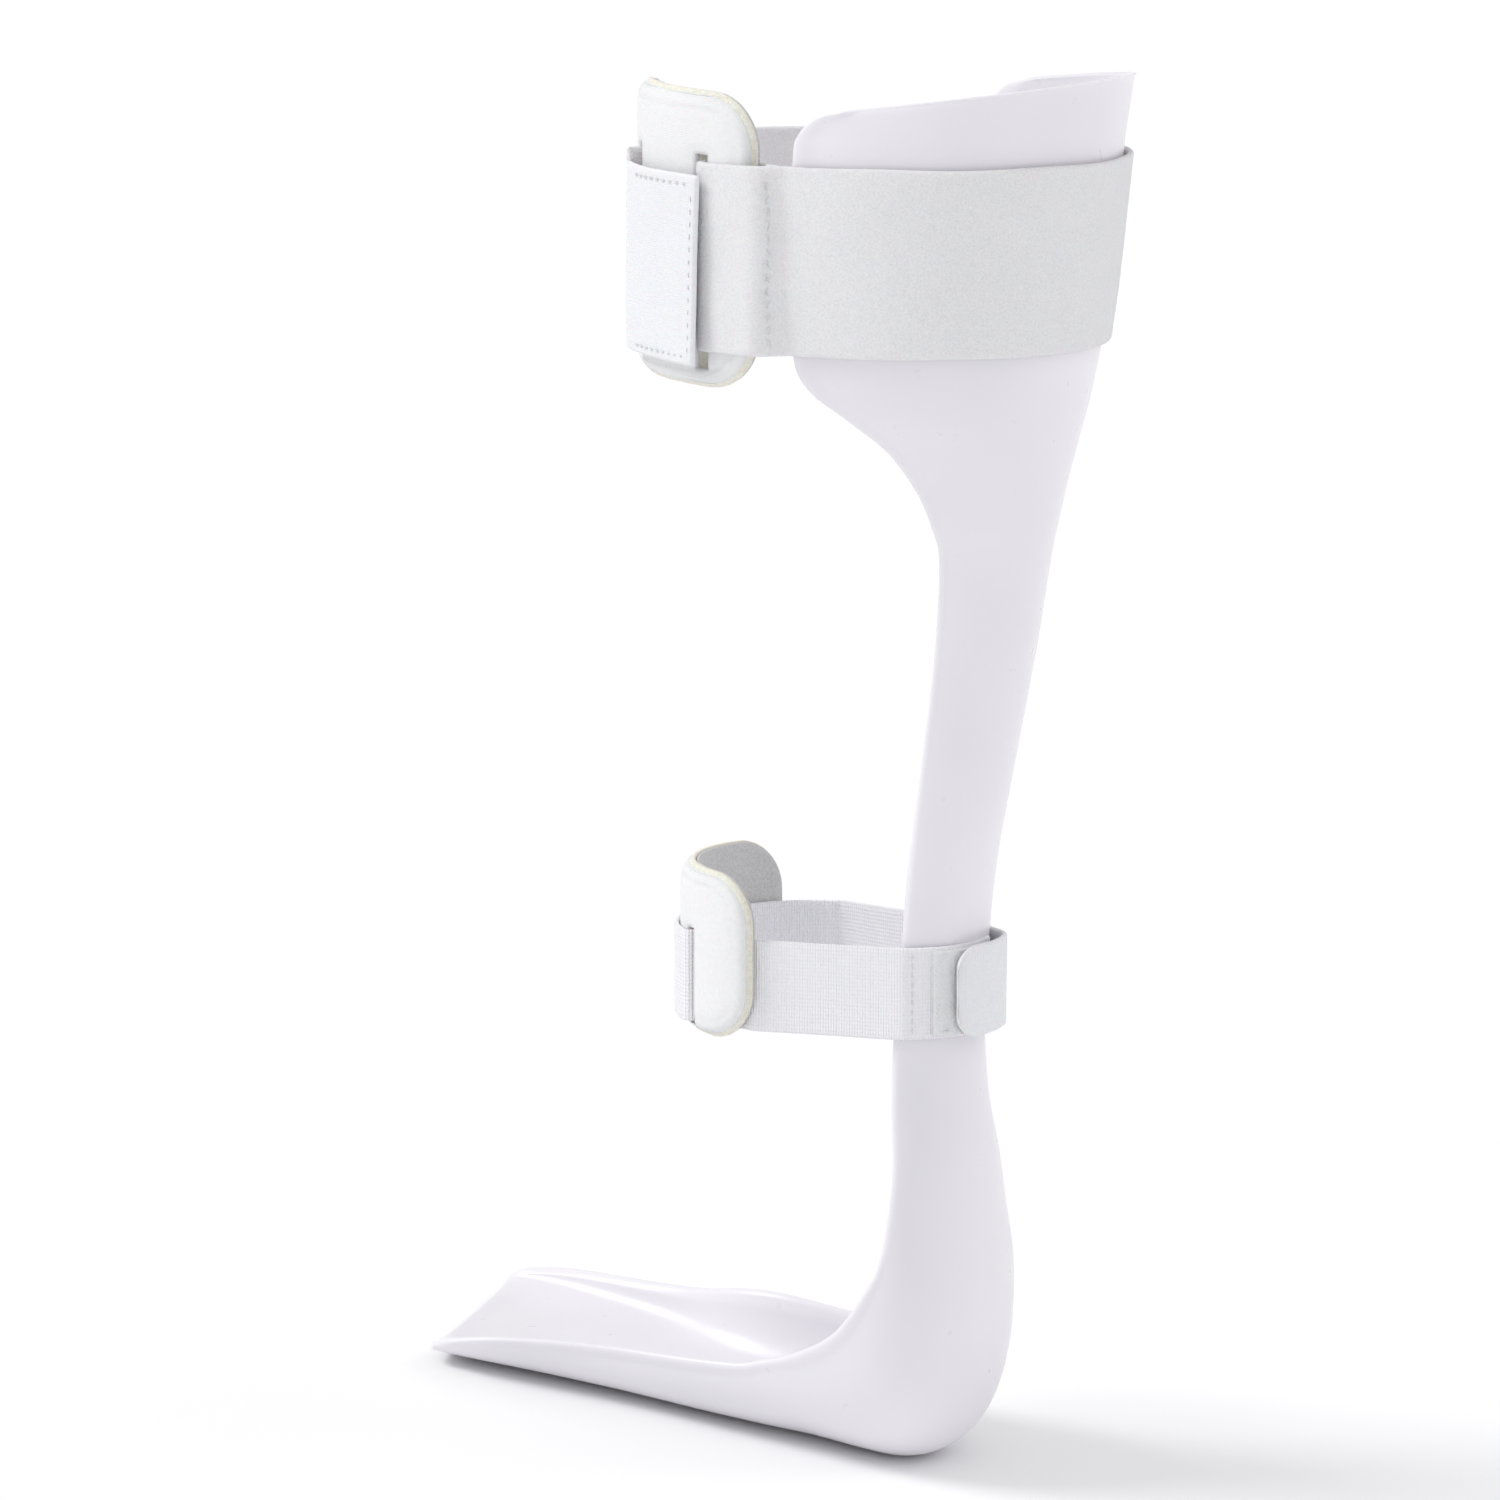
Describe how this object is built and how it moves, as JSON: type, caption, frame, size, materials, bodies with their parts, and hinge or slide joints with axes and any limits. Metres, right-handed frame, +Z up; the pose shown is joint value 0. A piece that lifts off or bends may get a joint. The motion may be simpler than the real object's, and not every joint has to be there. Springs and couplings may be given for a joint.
{
  "type": "ankle foot orthosis",
  "caption": "Posterior leaf-spring ankle foot orthosis: moulded calf cuff, strut and footplate with padded calf and ankle straps.",
  "frame": {"origin": "on the flat sole, under the heel, where the leg axis meets the floor", "axes": "+Z up, toes along -X, lateral side of the left leg along -Y"},
  "size_m": [0.1704, 0.1161, 0.3798],
  "materials": {
    "shell": "translucent white polypropylene, satin",
    "loop_strap": "brushed loop pile",
    "tab_cloth": "smooth woven cloth",
    "webbing": "ribbed webbing",
    "loop_patch": "stitched loop patch",
    "hook": "woven hook tape",
    "thread": "sewing thread",
    "pad_cover": "smooth coated cloth",
    "pad_foam": "closed-cell foam",
    "pad_lining": "brushed lining felt"
  },
  "bodies": {
    "foot": {"shell_foot": "shell"},
    "calf": {"shell_calf": "shell", "calf_shell_hook": "hook", "calf_strap": "loop_strap", "calf_strap_fold": "loop_strap", "calf_strap_stitches": "thread", "calf_pad_cover": "pad_cover", "calf_pad_foam": "pad_foam", "calf_pad_lining": "pad_lining", "ankle_shell_hook": "hook", "ankle_strap": "webbing", "ankle_strap_stitches": "thread", "ankle_loop_patch": "loop_patch", "ankle_pad_cover": "pad_cover", "ankle_pad_foam": "pad_foam", "ankle_pad_lining": "pad_lining"},
    "flap": {"calf_flap": "tab_cloth", "calf_flap_hook": "hook", "calf_flap_stitches": "thread"},
    "tab": {"ankle_tab": "tab_cloth", "ankle_tab_hook": "hook"}
  },
  "joints": [
    {"name": "ankle_flex", "type": "hinge", "parent": "foot", "child": "calf", "pos_m": [0.00446, 0, 0.09828], "axis": [0, -1, 0], "range_deg": [-10, 15], "stiffness_Nm_per_rad": 12},
    {"name": "calf_flap_peel", "type": "hinge", "parent": "calf", "child": "flap", "pos_m": [-0.10143, -0.037, 0.31599], "axis": [0.1219, 0, -0.9925], "range_deg": [0, 110]},
    {"name": "ankle_tab_peel", "type": "hinge", "parent": "calf", "child": "tab", "pos_m": [0.00149, 0.01805, 0.13166], "axis": [-0.1219, 0, 0.9925], "range_deg": [0, 110]}
  ]
}
